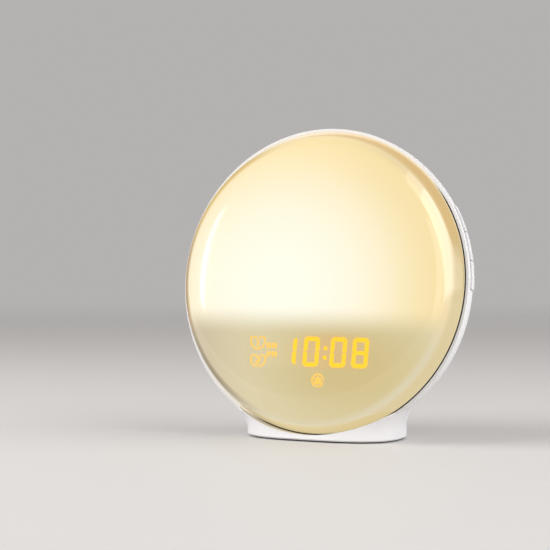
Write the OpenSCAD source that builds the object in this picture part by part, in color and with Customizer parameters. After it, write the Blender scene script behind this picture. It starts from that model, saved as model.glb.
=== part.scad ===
// Sunrise alarm clock: a round leaning lamp housing on a blended foot, in millimetres.
// +Z is up, the front faces -Y, and the origin is under the middle of the whole clock.
// Most pieces are drawn in the disc's own frame: +Z out of the front, +Y up the disc,
// with its origin at the middle of the front rim.

/* [Housing] */
// Outer diameter of the round housing
disc_d = 170; // [160:1:180]
// Backward lean of the disc, in degrees
lean = 6; // [4:0.5:9]
// Height of the lowest point of the rim above the table
rim_lift = 1.2; // [1:0.1:4]
// Depth of the straight band behind the rim
rim_band = 4; // [3.8:0.1:6]
// Radius where the band turns into the back
back_turn_r = 22; // [18:0.5:26]
// Depth of the housing behind the rim
back_depth = 54; // [50:1:60]
// Wall of the mouldings
wall = 2.4; // [2:0.1:3]
// Visible width of the rim round the front cover
rim_lip = 1.35; // [1:0.05:2]

/* [Front cover] */
// Height of the cover in front of the rim
cover_rise = 19.5; // [17:0.5:22]
// Draft of the cover's side, in degrees
cover_draft = 22; // [14:1:26]
// Radius between the cover's side and its face
cover_turn_r = 14; // [10:0.5:16]
// Radius of the gently crowned face
crown_r = 1000; // [700:50:1500]
// Wall of the cover
cover_wall = 2; // [1.6:0.1:2.4]
// Gap between the cover and the rim
cover_gap = 0.4; // [0.3:0.05:0.6]
// Depth of the seat that the cover sits in
seat_depth = 2.4; // [2.2:0.1:3]

/* [Foot] */
// Half the width of the foot
foot_half_w = 43.8; // [42:0.2:48]
// Reach of the foot in front of the disc's middle
foot_front = 19.4; // [17:0.2:21]
// Reach of the foot behind the disc's middle
foot_back = 40.6; // [39:0.2:44]
// Squareness of the foot's outline at the front (2 is an ellipse)
foot_square = 2.9; // [2.5:0.1:3.4]
// Squareness of the foot's outline at the back
back_square = 2.1; // [2:0.1:2.4]
// How much wider than the foot its blend is where it meets the disc
blend_flare = 9; // [5:0.5:11]
// Reach of the blend behind the disc's middle, up on the back
blend_back = 36; // [33:0.5:38]
// Squareness of the blend's outline on the disc
blend_square = 2.6; // [2.2:0.1:3.5]
// How far the foot spreads at its lower edge
foot_spread = 0.8; // [0:0.1:2]
// Thickness of the base plate
base_t = 2.8; // [2.6:0.1:3.4]
// Height of the housing's lower edge above the table
foot_lift = 0.8; // [0.6:0.1:1.5]

/* [Keys] */
// Angle of the middle of each side row above the disc's middle
row_angle = 13.5; // [8:0.5:20]
// Angle between neighbouring side keys
key_pitch = 10.5; // [9.5:0.25:11]
// Gap between neighbouring side keys, as an angle
key_split = 0.35; // [0.3:0.05:0.6]
// Depth of a side key along the disc's axis
key_depth = 7.4; // [6:0.1:8]
// Distance from the rim to the side keys
key_back = 3.7; // [3.6:0.1:5]
// How far the keys stand proud of the housing
key_rise = 0.7; // [0.5:0.1:1]
// Length of the snooze key
snooze_l = 46; // [38:1:52]
// Depth of the snooze key along the disc's axis
snooze_depth = 11; // [9:0.5:12]
// Distance from the rim to the snooze key
snooze_back = 6.5; // [6:0.5:8]
// Travel of every key
key_travel = 0.6; // [0.4:0.05:0.8]

/* [Display] */
// Height of the digits
digit_h = 16.8; // [14:0.2:18]
// Width of the digits
digit_w = 9.6; // [8:0.2:10]
// Width of the strokes
stroke = 2.5; // [2:0.1:2.8]
// Slant of the digits, in degrees
slant = 5; // [0:1:8]
// Middle of the row of digits below the disc's middle
digit_drop = 38.6; // [37:0.2:40]

/* [Light box] */
// Room inside the housing's side for the key boards, switches and stems
key_room = 19.9; // [19.6:0.1:22]
// Depth of the light box behind the rim
box_depth = 14; // [12:0.5:15]
// Distance of the baffle below the disc's middle
baffle_drop = 15.6; // [13:0.2:18]
// Thickness of the reflector tray
tray_t = 1.5; // [1.2:0.1:1.8]
// Spacing of the light emitting chips
chip_pitch = 15; // [12:0.5:18]

/* [Speaker] */
// Diameter of the speaker
speaker_d = 40; // [36:1:42]
// Height of the speaker above the disc's middle
speaker_y = 10; // [6:1:14]
// Diameter of the grille's holes
grille_hole = 2; // [1.6:0.1:2.4]
// Spacing of the grille's holes
grille_pitch = 4.2; // [3.8:0.1:4.6]
// Rings of holes round the middle one
grille_rings = 4; // [3:1:4]

/* [Power and backup cell] */
// Hole of the barrel inlet
inlet_hole = 6.4; // [6.3:0.05:6.5]
// Centre pin of the barrel inlet
inlet_pin = 2.1; // [2:0.05:2.5]
// Diameter of the coin cell
cell_d = 12.5; // [11.5:0.1:13]
// Thickness of the coin cell
cell_t = 2; // [1.6:0.1:2.5]

/* [Hidden] */

$fn = 128;
// Most that a curved profile's chords lie inside their arc
bow = 0.02;
far = 400;
sliver = 0.01;

// Fits
clear = 0.3;        // between pieces that move or are pushed in
near_fit = 0.15;    // between pieces that lie against each other

// Housing, measured in the disc's frame
disc_r = disc_d / 2;
disc_z = rim_lift + disc_r * cos(lean);
turn_c = [disc_r - back_turn_r, -rim_band];
cap_run = back_depth - rim_band;
cap_r = (turn_c.x ^ 2 + cap_run ^ 2 - back_turn_r ^ 2) / (2 * (cap_run - back_turn_r));
cap_z = cap_r - back_depth;
turn_angle = atan((rim_band + cap_z) / turn_c.x);

// Front cover
seat_r = disc_r - rim_lip;
cover_r = seat_r - cover_gap;
crown_z = cover_rise - crown_r;
cover_lap = seat_depth - 0.2;

// Place of the shoulder's centre: inside the drafted side and inside the crowned face
function shoulder(o) =
    let (t = tan(cover_draft), rho = cover_turn_r + o, k = cover_r + (o - rho) / cos(cover_draft))
    let (b = crown_z + k * t, c = k ^ 2 + crown_z ^ 2 - (crown_r - cover_turn_r) ^ 2)
    let (z = (b + sqrt(b ^ 2 - (1 + t ^ 2) * c)) / (1 + t ^ 2))
    [k - z * t, z];
cover_c = shoulder(0);

// The clock stands with the middle of its whole depth over the origin
front_reach = cover_c.x * sin(lean) + cover_c.y * cos(lean) + cover_turn_r;
back_reach = max(foot_back, cap_r - cap_z * cos(lean));
disc_y = (front_reach - back_reach) / 2;

// Foot
foot_z = foot_lift;
columns = 52;
rows = 7;
blend_dip = 9;
// Distance behind the rim over which the foot's wall turns into the blend
blend_reach = 16;
toe_z = -seat_depth - 1.1;
base_top = foot_z + base_t;
boss_r = 3.4;
pilot_r = 1.1;
pilot_l = 8;
boss_h = 8.6;
boss_in = 5.5;
boss_angles = [78, 125, 235, 282];
foot_edge = 0.8;
pad_r = 4;
pad_t = 1.6;
pad_pocket = pad_t - foot_lift;
pad_front = [foot_half_w - 15.8, 3];
pad_back = [14.5, foot_back - 9.6];
screw_head_r = 2.6;
screw_head_t = 1.2;
screw_r = 1.4;

// Backup cell and its twist door, which carries the cell in a ring with two lugs
cell_at = [-20.5, disc_y + 16.5];
post_angle = -60;
door_t = 1.5;
door_ring = 1.2;
door_turn = 40;
lug_reach = 1.6;
lug_t = 1.1;
lug_half = 12;
lug_angles = [0, 180];
door_ring_r = cell_d / 2 + clear + door_ring;
lug_r = door_ring_r + lug_reach;
door_r = lug_r + 1;
cell_z = foot_z + door_t + 0.2;
cell_step = 0.5;
door_ring_top = max(cell_z + cell_t - cell_step - 0.3, base_top + near_fit + lug_t);
strip_z = cell_z + cell_t + 0.8;
strip_t = 0.3;
strip_post = [lug_r + 0.5, lug_r + 4.5];

// Keys
switch_side = 6;
switch_h = 3.4;
plunger_r = 1.7;
plunger_h = 0.9;
board_t = 1.2;
flange_t = 1.2;
flange_lap = 0.9;
press_gap = key_travel + 0.1;
key_board_x = disc_r - key_room;
stem_x = key_board_x + board_t + switch_h + plunger_h + press_gap;
stem_r = 1.5;
key_half = (key_pitch - key_split) / 2;
row_half = key_pitch + key_half;
row_holder_y = disc_r * sin(key_pitch) + switch_side;
board_front = seat_depth + 0.1;

// Light box and tray
board_gap = 1.6;
box_r = key_board_x - board_gap - tray_t;
tray_z = 0.2 - seat_depth;
tray_face = tray_z + tray_t;
tab_r = cover_r - cover_wall;
tab_t = 1.6;
tab_l = 6.5;
tab_half = 4;
tab_angles = [45, 135, 225, 315];
tray_r = tab_r - tab_t - clear;
screw_angles = [60, 120, 236, 304];
tray_screw_at = tray_r - 7;
led_t = 1.2;
chip = [3.5, 2.8, 1.1];
baffle_top = cover_rise - 6;

// Display
display_l = 39;
display_r = 42;
display_top = 27;
display_low = 50.5;
mark_low = 60.5;
mark_x = 7.6;
mark_half = 8;
display_h = 7;
segment_t = 0.3;
crown_over_display = sqrt((crown_r - cover_wall) ^ 2 - display_r ^ 2 - display_low ^ 2) + crown_z;
display_face = crown_over_display - segment_t - near_fit * 2;
segment_z = display_face + sliver;
segment_gap = 0.3;
// Left edges of the four digits at the middle of their height
digit_x = [-14.6, -2.3, 14.1, 26.9];
colon_x = 11.2;
colon_step = 2.5;
colon_drop = 0.8;
dot_r = 1.25;
mark_line = 0.7;
label_h = 3;
cup_w = 9.2;
cup_top = 3.5;
cup_y = 1.1;
cup_corner = 1.2;
// Which of the seven segments are on, from the top clockwise, the middle last
digit_on = [[0, 1, 1, 0, 0, 0, 0], [1, 1, 1, 1, 1, 1, 0], [1, 1, 1, 1, 1, 1, 0], [1, 1, 1, 1, 1, 1, 1]];

// Main board
main_z = -16;
main_t = 1.6;
main_half_w = 36;
// Distance of the board's lower edge inside the rim
main_edge_in = 27;
main_low = main_edge_in - disc_r;
main_high = -20;
ribbon_w = 16;
ribbon_t = 0.3;
ribbon_y = -37;
post_r = 3;
post_in = 4;

// Speaker, its back to the grille
speaker_r = speaker_d / 2;
// Height of the speaker's seat above the back of the housing
speaker_stand = 10;
seat_z = speaker_stand - back_depth;
gasket_t = 0.8;
frame_t = 1.4;
basket_h = 9;
magnet_h = 7;

// Power inlet, its axis along +Y, just above the base plate
inlet_w = 10;
inlet_h = 9;
inlet_l = 10.5;
nose_r = 4.2;
recess_r = nose_r + 1.4;
web_r = recess_r + 1.1;
inlet_inset = 0.6;
inlet_z = base_top + web_r + clear;

// ---------------------------------------------------------------------------
// Frames and profiles

module disc_frame() {
    translate([0, disc_y, disc_z]) rotate([90 - lean, 0, 0]) children();
}

// A key row's frame: +X points out of the rim at the row's middle
module right_row() { disc_frame() rotate([0, 0, row_angle]) children(); }
module left_row() { disc_frame() mirror([1, 0, 0]) rotate([0, 0, row_angle]) children(); }
module top_row() { disc_frame() rotate([0, 0, 90]) children(); }

// Points of an arc, close enough that no chord lies more than bow inside it
function arc(c, r, a0, a1) =
    let (n = max(2, ceil(abs(a1 - a0) / (2 * acos(1 - bow / r)))))
    [for (i = [0:n]) let (a = a0 + (a1 - a0) * i / n) c + r * [cos(a), sin(a)]];

function rest_of(list) = [for (i = [1:len(list) - 1]) list[i]];

// Half profile of a bulge: a body, a turn, and a large cap on the axis that is tangent to the turn
module bulge_half(big_r, big_z, turn_r, c, side_angle, body) {
    top = atan2(c.y - big_z, c.x);
    cap = rest_of(arc([0, big_z], big_r, top, 90));
    polygon(concat([[0, body[0].y]], body, arc(c, turn_r, side_angle, top), cap));
}

// The housing's outer skin moved outwards by o, closed at its front plane
module housing_solid(o, front = 0) {
    mirror([0, 0, 1]) rotate_extrude()
        bulge_half(cap_r + o, -cap_z, back_turn_r + o, [turn_c.x, rim_band], 0, [[disc_r + o, -front]]);
}

module housing_skin(outer, inner) {
    difference() {
        housing_solid(outer);
        housing_solid(inner, front = 1);
    }
}

// The front cover's outer skin moved outwards by o, with a straight edge down to low
module cover_solid(o, low) {
    edge = cover_r + o / cos(cover_draft);
    rotate_extrude()
        bulge_half(crown_r + o, crown_z, cover_turn_r + o, cover_c, cover_draft, [[edge, -low], [edge, 0]]);
}

module disc_slab(z0, z1) {
    translate([0, 0, z0]) cylinder(h = z1 - z0, r = far / 2);
}

// A wedge of the disc about +X, between two depths
module wedge(half, z0, z1) {
    translate([0, 0, z0]) linear_extrude(z1 - z0)
        polygon([[0, 0], [far / 2, far / 2 * tan(half)], [far / 2, -far / 2 * tan(half)]]);
}

module block(low, high) {
    translate(low) cube(high - low);
}

// ---------------------------------------------------------------------------
// The foot's blend into the disc

function local_y(p) = (p.y - disc_y) * sin(lean) + (p.z - disc_z) * cos(lean);
function local_z(p) = (p.z - disc_z) * sin(lean) - (p.y - disc_y) * cos(lean);

// Distance of a point outside the housing's skin; in front of the rim the skin runs on as a cylinder
function skin_gap(p) =
    let (r = norm([p.x, local_y(p)]), z = local_z(p), below = atan2(-(z + rim_band), r - turn_c.x))
    z > -rim_band ? r - disc_r
    : below < turn_angle ? norm([r - turn_c.x, z + rim_band]) - back_turn_r
    : norm([r, z - cap_z]) - cap_r;

// Height at which the skin, moved inwards by depth, lies over a place in plan
function skin_height(at, depth, low, high, left = 22) =
    let (mid = (low + high) / 2)
    left == 0 ? mid
    : skin_gap([at.x, at.y, mid]) > -depth ? skin_height(at, depth, mid, high, left - 1)
    : skin_height(at, depth, low, mid, left - 1);

function skin_normal(p, e = 0.01) =
    let (g = [for (d = [[e, 0, 0], [0, e, 0], [0, 0, e]]) skin_gap(p + d) - skin_gap(p - d)])
    g / norm(g);

function signed_power(v, n) = sign(v) * abs(v) ^ n;

// A point of a rounded outline, at angle a: half width, front and back from the disc's middle
function outline(a, half, front, back, square_n) = [
    half * signed_power(sin(a), 2 / square_n),
    disc_y + (back - front) / 2 - (back + front) / 2 * signed_power(cos(a), 2 / square_n)
];

// Place of the foot's rear wall at a height, and of the inlet's face on it
function rear_wall(z) = lookup(z, [for (p = column(180, 0, foot_edge)) [p.z, p.y]]);
inlet_face = min([for (side = [-1, 0, 1]) rear_wall(inlet_z + side * web_r)]) - inlet_inset;

function ease(v) = let (c = min(max(v, 0), 1)) c * c * (3 - 2 * c);

// Even steps at first, then ever shorter ones, so that the last rows lie close together on the skin
function slow_end(t) = 1.5 * t - 0.5 * t ^ 3;

function bezier(p, t) =
    (1 - t) ^ 3 * p[0] + 3 * (1 - t) ^ 2 * t * p[1] + 3 * (1 - t) * t ^ 2 * p[2] + t ^ 3 * p[3];

function foot_outline(a, inset) =
    outline(a, foot_half_w - inset, foot_front - inset, foot_back - inset,
        cos(a) > 0 ? foot_square : back_square);

// One upright line of the foot's wall: from the base up to the disc, where it runs along the skin.
// Its lower edge is broken by edge and spreads a little.
function column(a, inset, edge) =
    let (base = foot_outline(a, inset), spread = foot_outline(a, inset - foot_spread),
        top = outline(a, foot_half_w + blend_flare - inset, foot_front - inset, blend_back - inset,
            blend_square),
        plane_y = disc_y - disc_z * tan(lean),
        s = max(ease((base.y - plane_y) / blend_reach), ease((abs(base.x) / foot_half_w - 0.68) / 0.22)),
        at = (1 - s) * base + s * top,
        sunk = inset + 0.15 * s + (1 - s) * (rim_lip + 2),
        low = foot_outline(a, inset - foot_spread + edge),
        foot = [spread.x, spread.y, foot_z + edge],
        end = [at.x, at.y, skin_height(at, sunk, foot_z, disc_z)],
        n = skin_normal(end),
        up = [0, 0, 1],
        along = (up - (up * n) * n) / norm(up - (up * n) * n),
        run = (1 - s) * up + s * (along * cos(blend_dip) - n * sin(blend_dip)),
        rise = end.z - foot_z,
        reach = norm(end - foot),
        path = [foot, [base.x, base.y, foot_z + 0.48 * rise], end - 0.3 * reach * run / norm(run), end])
    concat([[low.x, low.y, foot_z]], [for (k = [0:rows]) bezier(path, slow_end(k / rows))],
        [end - (wall + 1) * n]);

module foot_solid(inset, edge = 0, drop = 0) {
    lines = [for (i = [0:columns - 1]) column(360 * i / columns, inset, edge)];
    high = rows + 3;
    lower = [0, 0, drop];
    points = concat([for (l = lines) for (k = [0:high - 1]) k == 0 ? l[k] - lower : l[k]],
        [[0, disc_y + blend_back / 3, disc_z / 2]]);
    top = columns * high;
    sides = [
        for (i = [0:columns - 1], k = [0:high - 2])
            let (a = i * high + k, b = (i + 1) % columns * high + k)
            each [[a, a + 1, b + 1], [a, b + 1, b]]
    ];
    crown = [for (i = [0:columns - 1]) [i * high + high - 1, top, (i + 1) % columns * high + high - 1]];
    polyhedron(points, concat(sides, crown, [[for (i = [0:columns - 1]) i * high]]));
}

// ---------------------------------------------------------------------------
// Housing

function boss_places() = [for (a = boss_angles) foot_outline(a, boss_in)];

module key_row_opening() {
    intersection() {
        wedge(row_half + 0.22, -key_back - key_depth - clear, -key_back + clear);
        translate([disc_r - 16, -far / 2, -far / 2]) cube(far);
    }
}

module snooze_opening() {
    half = snooze_l / 2 + clear;
    back = -snooze_back - snooze_depth - clear;
    block([disc_r - 20, -half, back], [disc_r + 5, half, -snooze_back + clear]);
}

module tray_posts() {
    for (a = screw_angles) rotate([0, 0, a]) translate([tray_screw_at, 0, tray_z]) mirror([0, 0, 1])
        cylinder(h = back_depth, r = post_r);
}

module speaker_seat() {
    translate([0, speaker_y, -back_depth]) difference() {
        cylinder(h = back_depth + seat_z - gasket_t, r = speaker_r + 1.4);
        translate([0, 0, -1]) cylinder(h = far, r = speaker_r - 2);
    }
}

module grille_holes() {
    translate([0, speaker_y, -back_depth - 1]) {
        cylinder(h = 12, d = grille_hole, $fn = 24);
        for (ring = [1:grille_rings]) for (i = [0:6 * ring - 1]) rotate([0, 0, 60 * i / ring])
            translate([ring * grille_pitch, 0, 0]) cylinder(h = 12, d = grille_hole, $fn = 24);
    }
}

module inlet_recess() {
    translate([0, inlet_face, inlet_z]) rotate([-90, 0, 0]) {
        cylinder(h = 20, r = recess_r);
        translate([0, 0, -wall - 8]) cylinder(h = 20, r = nose_r + near_fit);
    }
}

// A round pad inside the foot's wall, which carries the inlet's recess
module inlet_web() {
    translate([0, inlet_face - wall, inlet_z]) rotate([-90, 0, 0]) cylinder(h = 20, r = web_r);
}

// A screw boss with a rib out to the foot's wall
module base_boss(a) {
    at = foot_outline(a, boss_in);
    out = foot_outline(a, 0) - at;
    translate([at.x, at.y, base_top]) {
        cylinder(h = boss_h, r = boss_r);
        rotate([0, 0, atan2(out.y, out.x)]) block([0, -1.2, 0], [boss_in * 1.5, 1.2, boss_h]);
    }
}

module rear_housing() {
    color("white") difference() {
        union() {
            disc_frame() difference() {
                union() {
                    housing_skin(0, -wall);
                    intersection() {
                        housing_solid(-sliver);
                        union() {
                            tray_posts();
                            speaker_seat();
                            seat_ring();
                        }
                    }
                }
                grille_holes();
            }
            foot_wall();
        }
        disc_frame() {
            translate([0, 0, -seat_depth]) cylinder(h = far / 4, r = seat_r);
            rotate([0, 0, row_angle]) key_row_opening();
            mirror([1, 0, 0]) rotate([0, 0, row_angle]) key_row_opening();
            rotate([0, 0, 90]) snooze_opening();
            for (a = screw_angles) rotate([0, 0, a]) translate([tray_screw_at, 0, tray_z - pilot_l])
                cylinder(h = pilot_l + 1, r = pilot_r);
        }
        inlet_recess();
        for (at = boss_places()) translate([at.x, at.y, base_top - 1]) cylinder(h = pilot_l + 1, r = pilot_r);
    }
}

// The ledge behind the cover's seat
module seat_ring() {
    translate([0, 0, -seat_depth - 1]) difference() {
        cylinder(h = 1, r = disc_r - 1);
        translate([0, 0, -1]) cylinder(h = 3, r = disc_r - wall);
    }
}

module foot_wall() {
    difference() {
        foot_solid(0, edge = foot_edge);
        difference() {
            foot_solid(wall, drop = 1);
            disc_frame() disc_slab(toe_z, far / 2);
            inlet_web();
            for (a = boss_angles) base_boss(a);
        }
        disc_frame() housing_solid(-wall);
    }
}

module front_cover() {
    color("#fbeec4") disc_frame() {
        difference() {
            cover_solid(0, cover_lap);
            cover_solid(-cover_wall, cover_lap + 1);
        }
        for (a = tab_angles) rotate([0, 0, a]) cover_tab();
    }
}

// A snap tab that reaches behind the tray's edge
module cover_tab() {
    hook = 1.1;
    intersection() {
        difference() {
            translate([0, 0, -tab_l]) cylinder(h = tab_l, r = tab_r + 0.6);
            translate([0, 0, -far / 2]) cylinder(h = far, r = tab_r - tab_t);
        }
        block([0, -tab_half, -tab_l], [disc_r, tab_half, -0.5]);
    }
    intersection() {
        difference() {
            disc_slab(tray_z - clear - 1.4, tray_z - clear);
            translate([0, 0, -far / 2]) cylinder(h = far, r = tab_r - tab_t - hook);
        }
        block([0, -tab_half, -tab_l], [tab_r - 0.5, tab_half, -0.5]);
        translate([0, 0, -far / 2]) cylinder(h = far, r = tab_r - 0.5);
    }
}

// ---------------------------------------------------------------------------
// Light box

module half_disc(r, low) {
    intersection() {
        circle(r);
        translate([-r, -low]) square([2 * r, 2 * r + low]);
    }
}

module board_rail(x, y, depth) {
    block([x - 2.6, y - 1.5, tray_z - depth], [x, y + 1.5, tray_z + sliver]);
}

module row_rails(half, depth) {
    for (side = [-1, 1]) board_rail(key_board_x - near_fit, side * half, depth);
}

module reflector_tray() {
    color("whitesmoke") disc_frame() {
        difference() {
            union() {
                translate([0, 0, tray_z]) cylinder(h = tray_t, r = tray_r);
                translate([0, 0, -box_depth - tray_t]) linear_extrude(box_depth + tray_t + tray_face)
                    half_disc(box_r + tray_t, baffle_drop + tray_t);
                block([-box_r + 4, -baffle_drop - tray_t, tray_face - sliver],
                    [box_r - 4, -baffle_drop, baffle_top]);
                display_shelf();
                for (p = board_posts())
                    translate([p.x, p.y, main_z]) cylinder(h = tray_z - main_z, r = post_r);
            }
            translate([0, 0, -box_depth]) linear_extrude(far) half_disc(box_r, baffle_drop);
            for (a = screw_angles) rotate([0, 0, a]) translate([tray_screw_at, 0, tray_z - 1])
                cylinder(h = tray_t + 2, r = screw_r + 0.25);
            block([mark_x - ribbon_w / 2 - 1, ribbon_y - 3, tray_z - 1],
                [mark_x + ribbon_w / 2 + 1, ribbon_y + 3, display_face]);
            for (p = board_posts()) translate([p.x, p.y, main_z - 1]) cylinder(h = pilot_l, r = pilot_r);
        }
        for (m = [0, 1]) mirror([m, 0, 0]) rotate([0, 0, row_angle])
            row_rails(row_holder_y - 2, key_back + key_depth);
        rotate([0, 0, 90]) row_rails(snooze_l / 2 - 5, snooze_back + snooze_depth / 2);
    }
}

// The raised box that the display stands on, open at its back
module display_shelf() {
    top = display_face - display_h;
    w = tray_t;
    difference() {
        union() {
            block([-display_l + 2, -display_low + 1, tray_z], [display_r - 2, -display_top - 1, top]);
            block([mark_x - mark_half + 1, -mark_low + 1, tray_z],
                [mark_x + mark_half - 1, -display_low + 2, top]);
        }
        block([-display_l + 2 + w, -display_low + 1 + w, tray_face],
            [display_r - 2 - w, -display_top - 1 - w, top - w]);
    }
}

module led_board() {
    color("ivory") disc_frame() translate([0, 0, -box_depth + 0.05]) difference() {
        linear_extrude(led_t) half_disc(box_r - 5, baffle_drop - 4);
        for (x = [-1, 1]) translate([x * (box_r - 14), 0, -1]) cylinder(h = led_t + 2, r = screw_r);
    }
}

function chip_places() = [
    for (j = [-1:4], i = [-4:4])
        let (p = [i * chip_pitch + (j % 2 == 0 ? 0 : chip_pitch / 2), j * chip_pitch * 0.87 + 4])
        if (norm(p) < box_r - 12 && p.y > -baffle_drop + 8 && norm([abs(p.x) - box_r + 14, p.y]) > 5) p
];

module led_chips() {
    color("khaki") disc_frame() for (p = chip_places())
        translate([p.x, p.y, -box_depth + 0.05 + led_t]) translate([-chip.x / 2, -chip.y / 2, 0]) cube(chip);
}

// ---------------------------------------------------------------------------
// Display

module display_block() {
    low = display_face - display_h;
    color("lightgray") disc_frame() difference() {
        union() {
            block([-display_l, -display_low, low], [display_r, -display_top, display_face]);
            block([mark_x - mark_half, -mark_low, low], [mark_x + mark_half, -display_low + 1, display_face]);
        }
        block([mark_x - ribbon_w / 2, ribbon_y - 2.5, low - 1],
            [mark_x + ribbon_w / 2, ribbon_y + 2.5, low + 1.5]);
    }
}

function lean_over(p) = [p.x + p.y * tan(slant), p.y];

// Outlines of the seven segments about a digit's middle: bars that meet in bevels, cut at the outer corners
function segment_points(s) =
    let (w = digit_w / 2, h = digit_h / 2, g = segment_gap / 2, b = stroke, c = stroke * 0.62)
    s == 0 ? [[-w + c, h], [w - c, h], [w - c / 2 - g, h - c / 2 + g], [w - b - g, h - b],
        [-w + b + g, h - b], [-w + c / 2 + g, h - c / 2 + g]]
    : s == 1 ? [[w, h - c], [w, b * 0.25 + g], [w - b / 2, g], [w - b, b * 0.4 + g], [w - b, h - b - g],
        [w - c / 2 + g, h - c / 2 - g]]
    : s == 6 ? [[-w + b * 0.6 + g, 0], [-w + b * 1.1 + g, b * 0.42], [w - b * 1.1 - g, b * 0.42],
        [w - b * 0.6 - g, 0], [w - b * 1.1 - g, -b * 0.42], [-w + b * 1.1 + g, -b * 0.42]]
    : s == 2 ? [for (p = segment_points(1)) [p.x, -p.y]]
    : s == 3 ? [for (p = segment_points(0)) [p.x, -p.y]]
    : s == 4 ? [for (p = segment_points(1)) [-p.x, -p.y]]
    : [for (p = segment_points(1)) [-p.x, p.y]];

module digit_segments(on) {
    for (d = [0:3]) translate([digit_x[d] + digit_w / 2, -digit_drop, segment_z]) for (s = [0:6])
        if (digit_on[d][s] == on)
            linear_extrude(segment_t) polygon([for (p = segment_points(s)) lean_over(p)]);
}

module segments_lit() {
    color("gold") disc_frame() {
        digit_segments(1);
        for (step = [-colon_step, colon_step])
            translate([colon_x + step * tan(slant), step - digit_drop - colon_drop, segment_z])
                cylinder(h = segment_t, r = dot_r, $fn = 32);
    }
}

module segments_off() {
    color("tan") disc_frame() digit_segments(0);
}

module ring_mark(r, w) {
    difference() {
        circle(r, $fn = 48);
        circle(r - w, $fn = 48);
    }
}

// A cup with rounded upper corners and a round bottom, moved inwards by inset
module cup(inset) {
    half = cup_w / 2;
    r = cup_corner - inset;
    corner = [half - cup_corner, cup_top - cup_corner];
    polygon(concat(arc([0, cup_y], half - inset, 180, 360), arc(corner, r, 0, 90),
        arc([-corner.x, corner.y], r, 90, 180)));
}

// An alarm mark: a cup outline, open in the middle of its top, with its number inside
module alarm_mark(number) {
    difference() {
        cup(0);
        cup(mark_line);
        translate([-0.7, 0]) square([1.4, cup_w]);
    }
    if (number == 1) bars([[0, -1.7, 0, 2]]);
    else bars([[-0.9, 1.9, 0.9, 1.9], [0.9, 0.2, 0.9, 1.9], [-0.9, 0.2, 0.9, 0.2], [-0.9, -1.5, -0.9, 0.2],
        [-0.9, -1.5, 0.9, -1.5]]);
}

// Strokes given by their ends, each upright or level
module bars(strokes) {
    w = mark_line / 2;
    for (p = strokes) translate([p[0] - w, p[1] - w]) square([p[2] - p[0] + 2 * w, p[3] - p[1] + 2 * w]);
}

// The two small labels beside the alarm marks, for morning and afternoon
module half_day_label(first) {
    h = label_h - mark_line;
    bars(concat(first, [[0, h / 2, 1.5, h / 2], [0, 0, 0, h], [0, h, 1.5, h]]));
    translate([3.1, 0]) bars([[0, 0, 0, h], [0, h, 2, h], [1, h / 2, 1, h], [2, 0, 2, h]]);
}

module leaf_mark() {
    ring_mark(3.7, 0.7);
    bars([[0, -2, 0, 2]]);
    for (y = [-1.1, 0.7]) for (side = [-1, 1])
        translate([side * 1.3, y]) circle(0.8, $fn = 24);
}

module display_marks() {
    color("gold") disc_frame() translate([0, 0, segment_z]) linear_extrude(segment_t) {
        translate([-29.1, -35]) alarm_mark(1);
        translate([-28.6, -45]) alarm_mark(2);
        translate([-23.2, -37.5]) half_day_label([[1.5, 0, 1.5, label_h - mark_line]]);
        translate([-23, -42.2]) half_day_label([[1.5, (label_h - mark_line) / 2, 1.5, label_h - mark_line]]);
        translate([mark_x, -54.3]) leaf_mark();
    }
}

// Flat ribbon, folded from the display's back through the tray to the main board
module display_ribbon() {
    low = display_face - display_h;
    color("linen") disc_frame() translate([mark_x - ribbon_w / 2, ribbon_y, 0]) rotate([90, 0, 90])
        linear_extrude(ribbon_w) polygon([
            [1, low + 1.4], [1, 1], [-1, -1], [-1, main_z + 4], [0.5, main_z + 1.5], [0.5, main_z + 0.02],
            [0.5 + ribbon_t, main_z + 0.02], [0.5 + ribbon_t, main_z + 1.6], [-1 + ribbon_t, main_z + 4.1],
            [-1 + ribbon_t, -1.1], [1 + ribbon_t, 0.9], [1 + ribbon_t, low + 1.4]]);
}

// ---------------------------------------------------------------------------
// Main board

function board_posts() = [
    for (x = [-1, 1]) for (y = [main_low + post_in, main_high - post_in]) [x * (main_half_w - post_in), y]
];

module main_board() {
    color("darkgreen") disc_frame() difference() {
        block([-main_half_w, main_low, main_z - main_t], [main_half_w, main_high, main_z - 0.02]);
        for (p = board_posts())
            translate([p.x, p.y, main_z - main_t - 1]) cylinder(h = main_t + 2, r = screw_r);
    }
}

module board_parts() {
    z = main_z - main_t;
    color("dimgray") disc_frame() {
        block([-8, -46, z - 1.6], [2, -36, z]);
        block([-24, -34, z - 1.2], [-16, -28, z]);
        block([12, -34, z - 6], [18, -24, z]);
        block([-22, -54, z - 5], [-10, -49, z]);
        for (p = [[16, -44], [25, -40]]) translate([p.x, p.y, z - 11]) cylinder(h = 11, r = 4, $fn = 48);
        translate([-24, -42, z - 7]) cylinder(h = 7, r = 3.2, $fn = 48);
    }
}

// Pan screw with a plain recess, its head on z = 0 and its shank downwards
module pan_screw(l) {
    difference() {
        union() {
            cylinder(h = screw_head_t, r = screw_head_r, $fn = 48);
            translate([0, 0, -l]) cylinder(h = l + sliver, r = pilot_r - 0.03, $fn = 48);
        }
        for (a = [0, 90]) rotate([0, 0, a])
            block([-1.5, -0.35, screw_head_t - 0.6], [1.5, 0.35, screw_head_t + 1]);
    }
}

module tray_screws() {
    color("silver") disc_frame() for (a = screw_angles) rotate([0, 0, a])
        translate([tray_screw_at, 0, tray_face]) pan_screw(6);
}

module board_screws() {
    color("silver") disc_frame() for (p = board_posts())
        translate([p.x, p.y, main_z - main_t]) mirror([0, 0, 1]) pan_screw(6);
}

// ---------------------------------------------------------------------------
// Keys, drawn in a row's frame

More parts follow.
